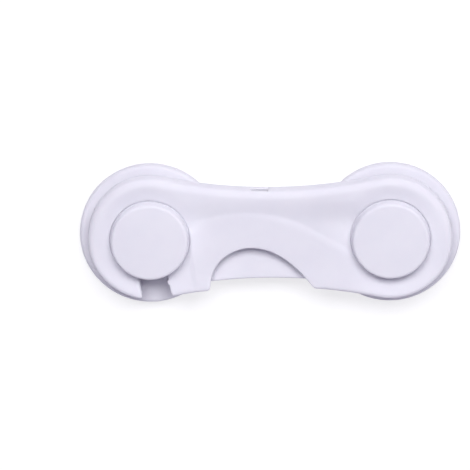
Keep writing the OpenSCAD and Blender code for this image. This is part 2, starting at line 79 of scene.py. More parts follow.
def smooth(low, high, value):
    # An S from 0 to 1 between two values: three times the square less twice the cube.
    t = np.clip((value - low) / (high - low), 0, 1)
    return t * t * (3 - 2 * t)


def loopNormals(loop):
    # Inward normal of a loop that runs anticlockwise: the mean direction of its two edges, turned left.
    edge = np.roll(loop, -1, 0) - loop
    edge /= np.linalg.norm(edge, axis=1)[:, None]
    mean = edge + np.roll(edge, 1, 0)
    mean /= np.linalg.norm(mean, axis=1)[:, None]
    return np.column_stack([-mean[:, 1], mean[:, 0]])


def inBatches(points, loop):
    # The points in batches, so that a table of points against the loop stays small.
    return np.array_split(points, max(1, len(points) * len(loop) // meshSet["batch"]))


def isInside(points, loop):
    # Counts, for each point, how often a ray to the right crosses the loop: odd is inside.
    a, b = loop, np.roll(loop, -1, 0)
    rise = np.where(b[:, 1] == a[:, 1], tiny, b[:, 1] - a[:, 1])
    found = []
    for part in inBatches(points, loop):
        x, y = part[:, :1], part[:, 1:]
        spans = (a[:, 1] > y) != (b[:, 1] > y)
        cross = a[:, 0] + (y - a[:, 1]) * (b[:, 0] - a[:, 0]) / rise
        found.append((spans & (x < cross)).sum(1) % 2 == 1)
    return np.concatenate(found)


def isBetween(points, outer, holes):
    # True for the points inside one loop and outside the others.
    keep = isInside(points, outer)
    for hole in holes:
        keep &= ~isInside(points, hole)
    return keep


def roomTo(points, loop):
    # Distance from each point to the nearest point of the loop.
    return np.concatenate([np.hypot(part[:, :1] - loop[:, 0], part[:, 1:] - loop[:, 1]).min(1)
                           for part in inBatches(points, loop)])


def lid(outer, holes, heightOf, step=0.0):
    # Fills the region inside one loop and outside the others with triangles; with a step, a grid of points in
    # staggered rows lies inside it, and heightOf lifts every point.
    loops = [outer] + list(holes)
    points = np.concatenate(loops)
    starts = np.cumsum([0] + [len(loop) for loop in loops])
    order = [start + np.arange(len(loop)) for start, loop in zip(starts, loops)]
    edges = np.concatenate([np.column_stack([here, np.roll(here, -1)]) for here in order])
    if step:
        low, high = outer.min(0), outer.max(0)
        gx, gy = np.meshgrid(np.arange(low[0], high[0], step), np.arange(low[1], high[1], step))
        gx[1::2] += step / 2
        grid = np.column_stack([gx.ravel(), gy.ravel()])
        grid = grid[isBetween(grid, outer, holes)]
        grid = grid[roomTo(grid, points) > meshSet["gridRoom"] * step]
        points = np.concatenate([points, grid])
    made = delaunay_2d_cdt([Vector(p) for p in points], edges.tolist(), [], 0, meshSet["gridMerge"])
    flat = np.array([v[:] for v in made[0]])
    faces = np.array(made[2])
    keep = isBetween(flat[faces].mean(1), outer, holes)
    return withHeight(flat, heightOf(flat[:, 0], flat[:, 1])), faces[keep]


def arc(centre, radius, start, stop, count):
    # Points along a circle's arc between two angles in degrees.
    turn = np.radians(np.linspace(start, stop, count))
    return np.column_stack([centre[0] + radius * np.cos(turn), centre[1] + radius * np.sin(turn)])


def circle(centre, radius, count):
    # Points round a circle, anticlockwise.
    turn = np.linspace(0, 2 * math.pi, count, endpoint=False)
    return np.column_stack([centre[0] + radius * np.cos(turn), centre[1] + radius * np.sin(turn)])


def oblong(west, south, east, north):
    # The four corners of a rectangle, anticlockwise from its lower left.
    return [(west, south), (east, south), (east, north), (west, north)]


def rounded(corners, radii, steps=6, closed=True):
    # A polygon with each corner turned into an arc of its own radius, tangent to both of its edges.
    corners = np.asarray(corners, float)
    out = []
    for k, radius in enumerate(np.broadcast_to(radii, len(corners))):
        here = corners[k]
        if radius == 0 or (not closed and k in (0, len(corners) - 1)):
            out.append(here[None])
            continue
        back = corners[k - 1] - here
        ahead = corners[(k + 1) % len(corners)] - here
        back, ahead = back / np.linalg.norm(back), ahead / np.linalg.norm(ahead)
        opening = math.acos(max(-1, min(1, back @ ahead))) / 2
        if opening > math.pi / 2 - meshSet["straight"]:
            out.append(here[None])
            continue
        middle = here + (back + ahead) / np.linalg.norm(back + ahead) * radius / math.sin(opening)
        first, last = here + back * radius / math.tan(opening), here + ahead * radius / math.tan(opening)
        a = math.atan2(*(first - middle)[::-1])
        sweep = (math.atan2(*(last - middle)[::-1]) - a + math.pi) % (2 * math.pi) - math.pi
        turn = a + sweep * np.linspace(0, 1, steps)
        out.append(middle + radius * np.column_stack([np.cos(turn), np.sin(turn)]))
    return np.concatenate(out)


def spin(profile, centre, count):
    # A profile of radius and height carried round an upright axis; radius 0 closes it in a pole.
    turn = np.linspace(0, 2 * math.pi, count, endpoint=False)
    radius, height = profile[:, :1], profile[:, 1:]
    rings = np.stack([centre[0] + radius * np.cos(turn), centre[1] + radius * np.sin(turn),
                      np.broadcast_to(height, (len(profile), count))], -1)
    return ringGrid(rings)


def slab(loop, low, high, lowEdge, highEdge, holes=(), steps=5, bowl=None, grain=0.0):
    # A plate between two heights: its loop is drawn in along its normals as a quarter circle at both edges,
    # flat lids close it, and straight walls line its holes. A bowl sinks the upper lid away from its edge.
    inward = loopNormals(loop)
    turn = np.linspace(0, math.pi / 2, steps)
    inset = np.concatenate([lowEdge * (1 - np.sin(turn)), highEdge * (1 - np.cos(turn))])
    height = np.concatenate([low + lowEdge * (1 - np.cos(turn)), high - highEdge * (1 - np.sin(turn))])
    rings = np.stack([withHeight(loop + inward * d, z) for d, z in zip(inset, height)])
    foot, rim = rings[0][:, :2], rings[-1][:, :2]

    def sunk(x, y):
        # The bowl's depth, eased in from the rim.
        return high - bowl(x, y) * smooth(0, meshSet["bowlRim"], roomTo(np.column_stack([x, y]), rim))

    parts = [ringGrid(rings), lid(foot, holes, level(low)),
             lid(rim, holes, sunk if bowl else level(high), grain)]
    for hole in holes:
        parts.append(ringGrid(np.stack([withHeight(hole, low), withHeight(hole, high)])))
    return parts


def makePiece(name, parts, material, sharp=meshSet["sharp"]):
    # Joins the surfaces into one mesh in metres, merges the points that meet, turns the faces outwards, and
    # keeps an edge sharp where its faces meet at more than the given angle.
    points, faces, first = [], [], 0
    for verts, cells in parts:
        points.append(verts)
        faces += (np.asarray(cells) + first).tolist()
        first += len(verts)
    mesh = bpy.data.meshes.new(name)
    mesh.from_pydata((np.concatenate(points) * mm).tolist(), [], faces)
    work = bmesh.new()
    work.from_mesh(mesh)
    bmesh.ops.remove_doubles(work, verts=work.verts, dist=meshSet["weld"])
    bmesh.ops.dissolve_degenerate(work, edges=work.edges, dist=meshSet["sliver"])
    bmesh.ops.recalc_face_normals(work, faces=work.faces)
    work.to_mesh(mesh)
    work.free()
    mesh.shade_smooth()
    mesh.set_sharp_from_angle(angle=math.radians(sharp))
    mesh.materials.append(material)
    piece = bpy.data.objects.new(name, mesh)
    bpy.context.scene.collection.objects.link(piece)
    print("piece", name, len(mesh.vertices), "points", len(mesh.polygons), "faces")
    return piece


def seat(piece, body, slotName, *nodes):
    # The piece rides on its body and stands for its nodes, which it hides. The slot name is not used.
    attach(piece, body)
    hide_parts(*nodes)


# finishes: a noise is given by scale, detail and roughness, a bump by strength and depth in metres

def newMaterial(name):
    # A material with its node tree and its main shader.
    material = bpy.data.materials.new(name)
    material.use_nodes = True
    tree = material.node_tree
    return material, tree, tree.nodes["Principled BSDF"]


def feed(tree, node, values):
    # Sets a node's sockets by name or place, or links them where the value is another node's socket.
    for key, value in values.items():
        if isinstance(value, bpy.types.NodeSocket):
            tree.links.new(value, node.inputs[key])
        else:
            node.inputs[key].default_value = value


def addNode(tree, kind, values=None, operation=None):
    # A new node with some of its sockets fed.
    node = tree.nodes.new(kind)
    if operation:
        node.operation = operation
    feed(tree, node, values or {})
    return node


def linear(r, g, b):
    # Screen values from 0 to 255 as linear light, by the screen's own curve.
    c = np.array([r, g, b]) / 255
    return tuple(np.where(c <= 0.04045, c / 12.92, ((c + 0.055) / 1.055) ** 2.4)) + (1.0,)


def ownPlace(tree):
    # The piece's own coordinates, in metres.
    return addNode(tree, "ShaderNodeTexCoord").outputs["Object"]


def noiseOn(tree, scale, detail, rough, shift=(0, 0, 0), stretch=(1, 1, 1)):
    # Noise on the piece's own coordinates; scale counts waves in a metre.
    place = addNode(tree, "ShaderNodeMapping", {"Vector": ownPlace(tree), "Location": shift, "Scale": stretch})
    noise = addNode(tree, "ShaderNodeTexNoise", {"Vector": place.outputs["Vector"], "Scale": scale,
                                                 "Detail": detail, "Roughness": rough})
    return noise.outputs["Fac"]


def blendColours(tree, factor, first, second):
    # The first colour where the factor is 0 and the second where it is 1; the mix has its colours at 6 and 7.
    mix = tree.nodes.new("ShaderNodeMix")
    mix.data_type = "RGBA"
    feed(tree, mix, {"Factor": factor, 6: first, 7: second})
    return mix.outputs[2]


def spread(tree, value, span, onto=(0, 1)):
    # Maps one range of a value evenly onto another, held at both ends.
    node = addNode(tree, "ShaderNodeMapRange", {"Value": value, "From Min": span[0], "From Max": span[1],
                                                "To Min": onto[0], "To Max": onto[1]})
    return node.outputs["Result"]


def bumpOf(tree, height, strength, depth):
    # The normal of a surface that a height roughens.
    bump = addNode(tree, "ShaderNodeBump", {"Height": height, "Strength": strength, "Distance": depth})
    return bump.outputs["Normal"]


plasticLook = dict(pale=(231, 230, 237), deep=(228, 227, 235), cloud=(110, 3, 0.55), cloudSpan=(0.35, 0.65),
                   mould=(420, 2, 0.5), mouldSpan=(0.3, 0.7), rough=(0.5, 0.6), grain=(2600, 2, 0.6),
                   bump=(0.35, 0.00002), soft=0.12, softReach=(0.0016, 0.0013, 0.0014), bend=1.49, gloss=0.25)
baseLook = dict(plasticLook, pale=(226, 225, 232), deep=(223, 222, 230))
acetalLook = dict(plasticLook, pale=(226, 224, 221), deep=(217, 215, 211), rough=(0.3, 0.42), soft=0.2)


def moulded(name, shift, look=plasticLook):
    # Satin moulded plastic: two near tones in slow clouds, gloss that drifts, and a fine spark-eroded grain.
    material, tree, shader = newMaterial(name)
    tone = spread(tree, noiseOn(tree, *look["cloud"], shift), look["cloudSpan"])
    drift = noiseOn(tree, *look["mould"], shift)
    feed(tree, shader, {"Base Color": blendColours(tree, tone, linear(*look["deep"]), linear(*look["pale"])),
                        "Roughness": spread(tree, drift, look["mouldSpan"], look["rough"]),
                        "Normal": bumpOf(tree, noiseOn(tree, *look["grain"], shift), *look["bump"]),
                        "Subsurface Weight": look["soft"], "Subsurface Radius": look["softReach"],
                        "Subsurface Scale": 1.0, "IOR": look["bend"], "Specular IOR Level": look["gloss"]})
    return material


# painted shade for the guide tail's end: its grey tone, and the span along y in metres where it sets in
tailShadeLook = dict(tone=(221, 220, 227), span=(0.0108, 0.011))


def paintTailShade(material, look):
    # Painted shade: past a place along y, the guide tail's end takes a grey tone in place of the plastic's. It
    # stands in for the shade inside its recessed window.
    tree = material.node_tree
    base = tree.nodes["Principled BSDF"].inputs["Base Color"]
    along = addNode(tree, "ShaderNodeSeparateXYZ", {"Vector": ownPlace(tree)})
    past = spread(tree, along.outputs["Y"], look["span"])
    tree.links.new(blendColours(tree, past, base.links[0].from_socket, linear(*look["tone"])), base)


foamLook = dict(pale=(222, 222, 226), deep=(196, 196, 202), cells=1500, cellSpan=(0.05, 0.6),
                drift=(160, 3, 0.6), driftSpan=(0.3, 0.7), rough=(0.82, 0.97), bump=(0.6, 0.00018), sheen=0.15)


def foamed(name, look=foamLook):
    # Closed-cell foam: small cells that darken between their walls, with a rough dry skin.
    material, tree, shader = newMaterial(name)
    cells = addNode(tree, "ShaderNodeTexVoronoi", {"Vector": ownPlace(tree), "Scale": look["cells"]})
    wall = spread(tree, cells.outputs["Distance"], look["cellSpan"])
    drift = noiseOn(tree, *look["drift"])
    feed(tree, shader, {"Base Color": blendColours(tree, wall, linear(*look["deep"]), linear(*look["pale"])),
                        "Roughness": spread(tree, drift, look["driftSpan"], look["rough"]),
                        "Normal": bumpOf(tree, wall, *look["bump"]), "Sheen Weight": look["sheen"]})
    return material


zincLook = dict(pale=(186, 188, 192), deep=(160, 163, 170), rough=(0.24, 0.42), lines=(1800, 4, 0.65),
                lineSpan=(0.3, 0.7), stretch=(1, 1, 0.25), patch=(300, 3, 0.6), bump=(0.25, 0.00001))
wireLook = dict(zincLook, pale=(178, 180, 186), deep=(150, 152, 160), rough=(0.16, 0.3),
                stretch=(0.4, 0.4, 0.4))


def plated(name, look):
    # Plated steel: fine drawn lines, patchy gloss and a slightly darker tone in the patches.
    material, tree, shader = newMaterial(name)
    lines = noiseOn(tree, *look["lines"], stretch=look["stretch"])
    patch = noiseOn(tree, *look["patch"])
    feed(tree, shader, {"Base Color": blendColours(tree, patch, linear(*look["deep"]), linear(*look["pale"])),
                        "Roughness": spread(tree, lines, look["lineSpan"], look["rough"]),
                        "Normal": bumpOf(tree, lines, *look["bump"]), "Metallic": 1.0})
    return material


# each plastic's noise is shifted, so that no two pieces show the same clouds
coverPlastic = moulded("cover_white_plastic", (0, 0, 0))
basePlastic = moulded("base_white_plastic", (0.13, 0.02, 0), baseLook)
capPlastic = moulded("cap_white_plastic", (0.31, 0.17, 0))
triggerPlastic = moulded("trigger_white_plastic", (0.07, 0.41, 0))
# the guide tail's end gets painted shade for its recessed window
paintTailShade(triggerPlastic, tailShadeLook)
leafAcetal = moulded("leaf_acetal", (0.23, 0.11, 0), acetalLook)
foamTape = foamed("foam_tape_cells")
zincScrew = plated("zinc_plated_screw", zincLook)
springWire = plated("drawn_spring_wire", wireLook)
print("materials made")


# arm outline

arm = dict(span=63.0, headR=16.1, waist=12.8, slotR=3.75, bumpAt=11.3, bumpR=0.9, bumpH=0.4,
           moonX=-5.01, moonTop=-2.4, moonA=10.69, moonB=10.2, moonReach=16.51, moonLean=0.25,
           backZ=4.5, floorZ=6.0, skirtZ=4.9, ceilingZ=9.0, faceZ=10.4, rimZ=8.4,
           boreR=3.58, sleeveR=5.5, springX=(-7.26, 1.74), springZ=7.3, catchPeg=(-23.63, -5.875))
# lines are drawn past the places where they cross, and cut there
lineSet = dict(lowerCount=300, upperCount=600, headCount=600, headStop=280, slotSweep=18, slotCount=400,
               slotEndCount=200, moonDrop=6, moonPast=3, moonCounts=(60, 300, 400))
half = arm["span"] / 2
waistR = (half ** 2 + arm["waist"] ** 2 - arm["headR"] ** 2) / (2 * (arm["headR"] - arm["waist"]))
waistC = arm["waist"] + waistR
lean = math.asin(half / (waistR + arm["headR"]))
latch = np.array([-half, 0.0])
pivot = np.array([half, 0.0])


def waistY(x, inset):
    # Half width of the waist at x: the waist's arc, moved inwards.
    return waistC - np.sqrt((waistR + inset) ** 2 - x * x)


def lowerWaist(start, stop, inset, count):
    # The lower waist's arc between two places along the arm.
    x = np.linspace(start, stop, count)
    return np.column_stack([x, -waistY(x, inset)])


def boneEdge(startX, inset, n=lineSet):
    # The bone's edge from startX on the lower side, round the right head, the upper waist and the left head.
    tilt = math.degrees(lean)
    side = (waistR + inset) * math.sin(lean)
    head = arm["headR"] - inset
    lower = lowerWaist(startX, side, inset, n["lowerCount"])
    right = arc(pivot, head, -90 - tilt, 90 + tilt, n["headCount"])
    upper = -lowerWaist(-side, side, inset, n["upperCount"])
    left = arc(latch, head, 90 - tilt, n["headStop"], n["headCount"])
    return np.concatenate([lower, right[1:], upper[1:], left[1:]])


def slotEdge(inset, bump, n=lineSet):
    # The slot's edge, up its left wall, round the post and down its right wall: two arcs about the pivot, one
    # about the latch post, with a small round bump on the right wall.
    sweep = np.radians(np.linspace(n["slotSweep"], 0, n["slotCount"]))
    outer = arm["span"] + arm["slotR"] + inset
    left = np.column_stack([half - outer * np.cos(sweep), -outer * np.sin(sweep)])
    end = arc(latch, arm["slotR"] + inset, 180, 0, n["slotEndCount"])
    sweep = sweep[::-1]
    inner = arm["span"] - arm["slotR"] - inset
    along = inner * (sweep - math.radians(arm["bumpAt"]))
    rise = np.sqrt(np.maximum(0, arm["bumpR"] ** 2 - along ** 2)) - arm["bumpR"] + arm["bumpH"]
    inner = inner + bump * np.maximum(0, rise)
    right = np.column_stack([half - inner * np.cos(sweep), -inner * np.sin(sweep)])
    return np.concatenate([left, end[1:], right[1:]])


def moonEdge(inset, n=lineSet):
    # The half-moon's edge: a leaning straight, a quarter ellipse, then a parabola moved out along its normal.
    leftCount, topCount, rightCount = n["moonCounts"]
    a, b = arm["moonA"] + inset, arm["moonB"] + inset
    low = arm["moonTop"] - arm["moonB"]
    drop = np.linspace(-n["moonDrop"], 0, leftCount)
    left = np.column_stack([arm["moonX"] - a + arm["moonLean"] * drop, low + drop])
    turn = np.linspace(math.pi, math.pi / 2, topCount)
    top = np.column_stack([arm["moonX"] + a * np.cos(turn), low + b * np.sin(turn)])
    curve = (waistY(arm["moonX"] + arm["moonReach"], 0) + arm["moonTop"]) / arm["moonReach"] ** 2
    run = np.linspace(0, arm["moonReach"] + n["moonPast"], rightCount)
    slope = 2 * curve * run
    size = np.sqrt(1 + slope ** 2)
    right = np.column_stack([arm["moonX"] + run + inset * slope / size,
                             arm["moonTop"] - curve * run ** 2 + inset / size])
    return np.concatenate([left, top[1:], right[1:]])


def meet(p, q):
    # The last place where two lines of points cross, counted in points along each of them.
    a, b = p[:-1, None], np.diff(p, axis=0)[:, None]
    c, d = q[None, :-1], np.diff(q, axis=0)[None]
    cross = b[..., 0] * d[..., 1] - b[..., 1] * d[..., 0]
    cross = np.where(np.abs(cross) < tiny, tiny, cross)
    gap = c - a
    s = (gap[..., 0] * d[..., 1] - gap[..., 1] * d[..., 0]) / cross
    t = (gap[..., 0] * b[..., 1] - gap[..., 1] * b[..., 0]) / cross
    i, j = np.argwhere((s >= 0) & (s < 1) & (t >= 0) & (t < 1))[-1]
    return i + s[i, j], j + t[i, j]


def pointAt(line, place):
    # The point at a place along a line of points.
    index = np.arange(len(line))
    return np.array([np.interp(place, index, line[:, 0]), np.interp(place, index, line[:, 1])])


def cutLine(line, start, stop, trimStart, trimStop, count):
    # The part of a line between two places along it, shortened at both ends and spaced evenly.
    index = np.arange(len(line))
    points = np.vstack([pointAt(line, start), line[(index > start) & (index < stop)], pointAt(line, stop)])
    along = np.concatenate([[0], np.cumsum(np.linalg.norm(np.diff(points, axis=0), axis=1))])
    at = np.linspace(trimStart, along[-1] - trimStop, count)
    return np.column_stack([np.interp(at, along, points[:, 0]), np.interp(at, along, points[:, 1])])


def joinLoop(lines, cuts, counts, cornerCount):
    # One closed loop from lines that cross each other in turn: each is cut at its crossings, and a curve
    # that starts and ends along its two lines rounds the corner between them. Also gives the number of each
    # point's line, or -1 in a corner.
    n = len(lines)
    crossings = [meet(lines[k], lines[(k + 1) % n]) for k in range(n)]
    sides = [cutLine(lines[k], crossings[k - 1][1], crossings[k][0], cuts[k - 1], cuts[k], counts[k])
             for k in range(n)]
    t = np.linspace(0, 1, cornerCount + 2)[1:-1, None]
    loop, owner = [], []
    for k in range(n):
        first, last = sides[k][-1], sides[(k + 1) % n][0]
        tip = pointAt(lines[k], crossings[k][0])
        loop += [sides[k], (1 - t) ** 2 * first + 2 * t * (1 - t) * tip + t ** 2 * last]
        owner += [np.full(counts[k], k), np.full(cornerCount, -1)]
    return np.concatenate(loop), np.concatenate(owner)


def ringMean(values, reach):
    # Running mean round a loop.
    kernel = np.ones(2 * reach + 1) / (2 * reach + 1)
    return np.convolve(np.concatenate([values[-reach:], values, values[:reach]]), kernel, "valid")


# arm face

# a drop has where it starts and ends and its depth, a hollow its place, its two widths and its depth
relief = dict(lipH=0.7, lipRise=0.2, lipGrow=(-22.0, -14.0), upper=(1.7, 8.9), lower=(1.0, 6.5),
              headNear=(20.0, 27.0), browH=0.5, leftDrop=(-5.0, -16.0, 0.12), rightDrop=(-2.0, 14.0, 0.16),
              browBend=0.045, browTilt=0.05, tiltOver=(4.0, 12.0), browFade=(20.0, 29.0), peak=(-7.5, 5.65),
              leftBend=0.0295, rightRise=9.0, rightRun=14.0, creaseX=-20.7, creaseLean=0.128, creaseW=1.2,
              edgeBlend=(-8.0, 4.0), hollows=((18.0, 4.5, 6.5, 4.5, 0.65), (-19.0, 4.5, 5.0, 4.0, 0.42)))


def edgeRoom(x, y):
    # Distance from a point inside the arm to the bone's edge.
    drop = waistC - np.abs(y)
    byWaist = np.hypot(x, drop) - waistR
    byHead = arm["headR"] - np.hypot(np.abs(x) - half, y)
    return np.where(np.arctan2(np.abs(x), drop) < lean, byWaist, byHead)


def crestLine(x, r):
    # The brow's crest over the half-moon: a parabola left of its peak, and a hyperbola's arm right of it.
    d = x - r["peak"][0]
    right = r["rightRise"] * (np.sqrt(1 + (d / r["rightRun"]) ** 2) - 1)
    return r["peak"][1] - np.where(d < 0, r["leftBend"] * d * d, right)


def faceHeight(x, y, r=relief):
    # Height of the arm's face. Above, a wide lip falls in an S to a straight valley, or the brow stands higher:
    # it falls as a square outside its crest. Below, a narrow lip falls as a square to the brow. Shallow
    # bell-shaped hollows lie in the valley beside the caps.
    room = edgeRoom(x, y)
    edge = r["lipH"] + r["lipRise"] * smooth(*r["lipGrow"], x)
    bulge = (waistY(np.clip(x, -half, half), 0) - arm["waist"]) * (1 - smooth(*r["headNear"], np.abs(x)))
    lip = edge * (1 - smooth(*r["upper"], room - bulge))
    past = y - crestLine(x, r)
    crease = r["creaseX"] - r["creaseLean"] * y
    brow = r["browH"] - r["browBend"] * np.maximum(past, 0) ** 2
    for start, stop, drop in (r["leftDrop"], r["rightDrop"]):
        brow = brow - drop * smooth(start, stop, x)
    brow = brow + r["browTilt"] * smooth(*r["tiltOver"], x) * np.maximum(-past, 0)
    brow = brow * (1 - smooth(*r["browFade"], x)) * smooth(crease - r["creaseW"], crease, x)
    low = np.maximum(brow, 0)
    t = np.clip((room - r["lower"][0]) / (r["lower"][1] - r["lower"][0]), 0, 1)
    below = low + np.maximum(edge - low, 0) * (1 - t) ** 2
    above = np.maximum(lip, brow)
    full = smooth(*r["edgeBlend"], y)
    height = arm["faceZ"] + below * (1 - full) + above * full
    for atX, atY, wide, tall, deep in r["hollows"]:
        height = height - deep * np.exp(-((x - atX) / wide) ** 2 - ((y - atY) / tall) ** 2)
    return height


# front cover

# the tail's window has its two sides and the height of its upper edge, the catch's its two ends along y
coverSet = dict(skirtT=1.3, slotT=1.2, moonT=1.3, corners=(1.5, 0.9, 0.8, 0.9), innerCorner=0.3,
                shoulderR=2.0, lowerR=1.0, lobeR=0.8, innerR=0.45, tongueR=0.9, upperBlend=(-8.0, 4.0),
                evenOut=5, lowEdge=0.12, fillet=9, step=0.5, tailWindow=(-5.21, -0.31, 9.75), bridgeTop=6.4,
                bridgeCount=12, noseWindow=(-8.15, -3.6), moonLow=8.85, boreEdge=0.2, boreCount=96,
                seatR=9.9, seatLow=9.3, seatTop=11.1, seatEdge=0.15, seatCount=192, seatSpan=(-75, 263),
                seatLineCount=400, seatCounts=(200, 120), seatCorner=0.3, seatCornerCount=5,
                moatR=10.64, moatIn=9.7, moatDeep=0.34, moatEdge=0.18, moatSpan=(-57.0, 242.0), moatCount=170,
                moatStep=2.0)
coverLines = dict(boneStart=6, lobe=(-29, -10), lobeCount=200, counts=(760, 170, 40, 150), cornerCount=9)
boneLine, slotLine, lobeLine, moonLine = range(4)


def coverLoop(boneIn, slotIn, moonIn, cuts, bump, c=coverLines):
    # The front cover's outline, its lines drawn in: bone, slot, the lobe between slot and half-moon, half-moon.
    lines = [boneEdge(c["boneStart"], boneIn), slotEdge(slotIn, bump),
             lowerWaist(*c["lobe"], boneIn, c["lobeCount"]), moonEdge(moonIn)]
    return joinLoop(lines, cuts, c["counts"], c["cornerCount"])


def shoulderRadius(s, loop, owner):
    # Radius of the quarter circle over the cover's edge: wide along the upper side, narrower along the lower,
    # the lobe and the tongue, and small elsewhere, evened out along the edge.
    x, y = loop.T
    bone = s["lowerR"] + (s["shoulderR"] - s["lowerR"]) * smooth(*s["upperBlend"], y)
    radius = np.where(owner == boneLine, bone, s["innerR"])
    radius = np.where(owner == lobeLine, s["lobeR"], radius)
    radius = np.where((owner == slotLine) & (x < -half) & (y < 0), s["tongueR"], radius)
    return ringMean(ringMean(radius, s["evenOut"]), s["evenOut"])


def footHeight(s, loop, owner):
    # Height of the cover's foot: the skirt's, the floor's along the slot, and higher where the half-moon, the
    # tail's window and the catch's window leave the wall open.
    x, y = loop.T
    west, east, sill = s["tailWindow"]
    low, high = s["noseWindow"]
    atMoon = (owner == moonLine) & (y > -waistY(x, s["skirtT"]))
    atNose = (owner == slotLine) & (x > -half) & (y > low) & (y < high)
    atTail = (owner == boneLine) & (y > 0) & (x > west) & (x < east)
    foot = np.where(owner == slotLine, arm["floorZ"], arm["skirtZ"])
    return np.where(atTail, sill, np.where(atMoon | atNose, s["moonLow"], foot))


def moat(loop, holes, s):
    # A ditch in the face inside a loop: a small chamfer, upright walls, and a floor that follows the face.
    inner = loop + loopNormals(loop) * s["moatEdge"]

    def sunk(x, y):
        # The ditch's floor.
        return faceHeight(x, y) - s["moatDeep"]

    rings = [withHeight(loop, faceHeight(*loop.T)), withHeight(inner, faceHeight(*inner.T) - s["moatEdge"]),
             withHeight(inner, sunk(*inner.T))]
    return [ringGrid(np.stack(rings)), lid(inner, holes, sunk, s["moatStep"])]


def buildFrontCover(s):
    # The outline is lofted: up the inner wall's foot, out along the rim, up the skirt, over a quarter circle
    # whose radius changes along the edge, and in to the sculpted face. The slot, the half-moon, the pivot's
    # sleeve and the ceiling close it as one shell. A narrow ditch runs round each cap's foot; slabs make the
    # seats under the caps and the wall below the tail's window.
    loop, owner = coverLoop(0, 0, 0, s["corners"], 1.0)
    inner, _ = coverLoop(s["skirtT"], s["slotT"], s["moonT"], (s["innerCorner"],) * 4, 0.0)
    inward = loopNormals(loop)
    radius = shoulderRadius(s, loop, owner)
    foot = footHeight(s, loop, owner)
    edge = s["lowEdge"]
    top = faceHeight(*(loop + inward * radius[:, None]).T)
    begin = np.arcsin(np.clip((foot + edge - top + radius) / radius, 0, 1))

    def fillet(turn):
        # The outline drawn in for an angle of the quarter circle.
        return loop + inward * (radius * (1 - np.cos(turn)))[:, None]

    wall = fillet(begin)
    midway = (foot + edge + np.maximum(top - radius, foot + edge)) / 2
    rings = [withHeight(inner, arm["ceilingZ"]), withHeight(inner, foot),
             withHeight(wall + inward * edge, foot), withHeight(wall, foot + edge), withHeight(wall, midway)]
    for turn in np.linspace(0, math.pi / 2, s["fillet"]):
        turn = np.maximum(turn, begin)
        rings.append(withHeight(fillet(turn), top - radius * (1 - np.sin(turn))))
    bore, mouth, sleeve = [circle(pivot, r, s["boreCount"])
                           for r in (arm["boreR"], arm["boreR"] + s["boreEdge"], arm["sleeveR"])]
    brim = faceHeight(*mouth.T) - s["moatDeep"]
    tube = [withHeight(sleeve, arm["ceilingZ"]), withHeight(sleeve, arm["floorZ"]),
            withHeight(bore, arm["floorZ"]), withHeight(bore, brim - s["boreEdge"]), withHeight(mouth, brim)]
    parts = [ringGrid(np.stack(rings)), ringGrid(np.stack(tube))]
    start, stop = s["moatSpan"]
    ringDitch = circle(pivot, s["moatR"], s["seatCount"])
    horseshoe = np.concatenate([arc(latch, s["moatR"], start, stop, s["moatCount"]),
                                arc(latch, s["moatIn"], stop, start, s["moatCount"])])
    parts.append(lid(rings[-1][:, :2], [ringDitch, horseshoe], faceHeight, s["step"]))
    parts += moat(ringDitch, [mouth], s) + moat(horseshoe, [], s)
    parts.append(lid(inner, [sleeve], level(arm["ceilingZ"])))
    pivotSeat = circle(pivot, s["seatR"], s["seatCount"])
    parts += slab(pivotSeat, s["seatLow"], s["seatTop"], 0, s["seatEdge"], [mouth])
    seatLines = [arc(latch, s["seatR"], *s["seatSpan"], s["seatLineCount"]), slotEdge(0, 1.0)]
    latchSeat, _ = joinLoop(seatLines, (s["seatCorner"],) * 2, s["seatCounts"], s["seatCornerCount"])
    parts += slab(latchSeat, s["seatLow"], s["seatTop"], 0, s["seatEdge"])
    west, east, _ = s["tailWindow"]
    across = np.linspace(west - edge, east + edge, s["bridgeCount"])
    bridge = np.concatenate([np.column_stack([across, waistY(across, s["skirtT"])]),
                             np.column_stack([across, waistY(across, 0)])[::-1]])
    return parts + slab(bridge, arm["skirtZ"], s["bridgeTop"], edge, edge)


frontCover = makePiece("front_shell", buildFrontCover(coverSet), coverPlastic)
seat(frontCover, "arm", "white_plastic", "front_cover")


# rear cover

rearSet = dict(inset=1.35, rimT=1.1, slotT=1.25, corner=0.6, innerCorner=0.3, backEdge=0.45, slotEdge=0.25,
               rimEdge=0.1, evenOut=5, fillet=6, cutZ=5.94, ringZ=4.25, boreCount=96, boneStart=-29,
               counts=(1000, 170), cornerCount=7, moonSpan=(-15.85, 10.75), tailSpan=(-5.2, -0.3),
               screws=((-41.0, -3.0), (-15.0, 8.96), (13.5, 8.86), (17.5, -9.26)), screwCount=48,
               headR=1.9, headH=0.8, passR=1.1)


def rearLoop(s, boneIn, slotIn, cut):
    # The rear cover's outline: the bone and the slot, each drawn in.
    lines = [boneEdge(s["boneStart"], boneIn), slotEdge(slotIn, 0.0)]
    return joinLoop(lines, (cut, cut), s["counts"], s["cornerCount"])


